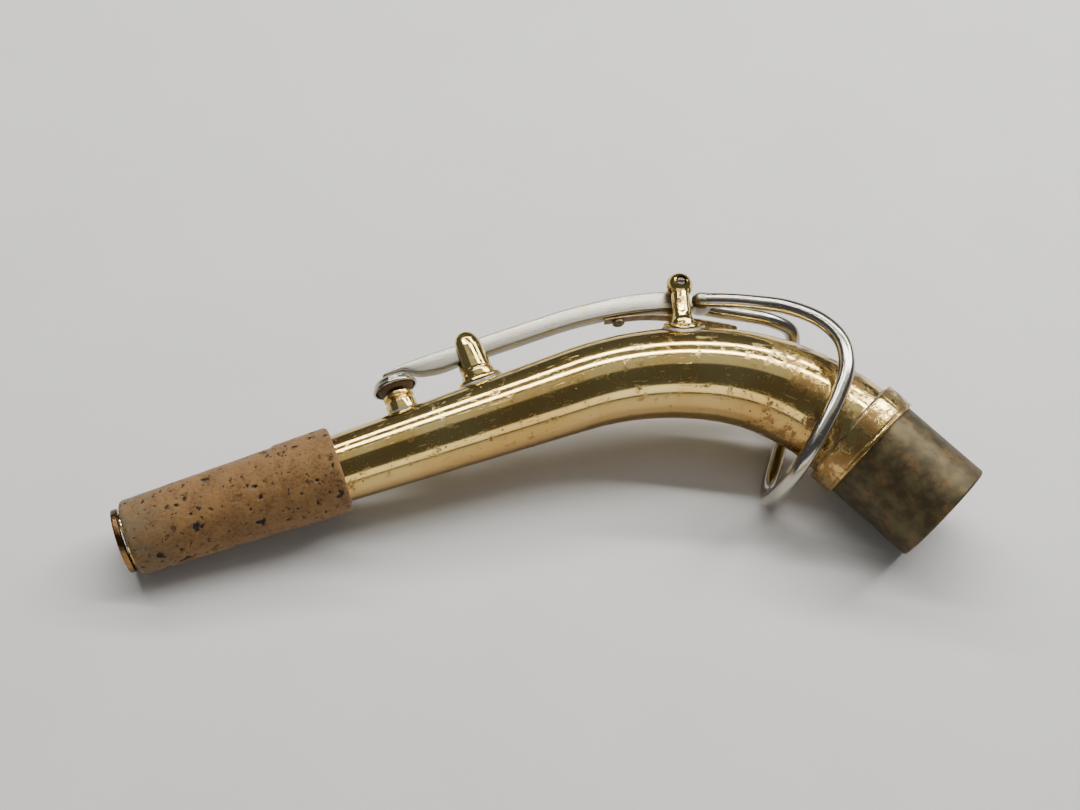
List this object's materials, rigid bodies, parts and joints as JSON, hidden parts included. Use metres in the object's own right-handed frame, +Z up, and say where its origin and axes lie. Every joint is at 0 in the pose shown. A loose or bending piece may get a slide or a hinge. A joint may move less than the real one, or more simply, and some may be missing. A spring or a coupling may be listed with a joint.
{
  "type": "alto saxophone neck with octave key",
  "caption": "Curved conical saxophone neck with a cork sleeve, a tenon, and a hinged octave key whose pad closes a small vent and whose loop goes round the tube.",
  "frame": {"origin": "middle of the footprint on the surface it rests on", "axes": "+X along the neck's length from the cork end to the tenon end, +Y to the side the key's top faces, +Z up"},
  "size_m": [0.1836, 0.069, 0.0358],
  "materials": {
    "lacquered_brass": "worn lacquer, tarnished in spots",
    "tarnished_brass": "dull brown tarnish",
    "nickel_plate": "polished nickel plate with warm worn patches",
    "spring_bronze": "dark satin",
    "blued_steel": "dark satin",
    "cork_bark": "sanded cork with dark pores",
    "pad_leather": "dark brown, matte",
    "pad_felt": "pressed wool felt",
    "pad_card": "pressed card"
  },
  "bodies": {
    "neck": {"neck_tube": "lacquered_brass", "tip_ring": "lacquered_brass", "neck_cork": "cork_bark", "tenon_collar": "lacquered_brass", "tenon_sleeve": "tarnished_brass", "octave_pip": "lacquered_brass", "guide_saddle": "lacquered_brass", "guide_post": "lacquered_brass", "spring_plate": "lacquered_brass", "hinge_post_near": "lacquered_brass", "hinge_post_far": "lacquered_brass", "hinge_screw": "blued_steel"},
    "octave_key": {"key_arm": "nickel_plate", "hinge_tube": "nickel_plate", "key_loop": "nickel_plate", "key_spring": "spring_bronze", "spring_screw": "blued_steel", "pad_cup": "nickel_plate", "pad_card": "pad_card", "pad_felt": "pad_felt", "pad_skin": "pad_leather"}
  },
  "joints": [
    {"name": "octave_key_hinge", "type": "hinge", "parent": "neck", "child": "octave_key", "pos_m": [0.02714, 0.03052, 0.02503], "axis": [0.0094, 0.2679, -0.9634], "range_deg": [0, 8], "stiffness_Nm_per_rad": 0.05, "springref_deg": -5.73, "deforming": ["key_spring"]}
  ]
}
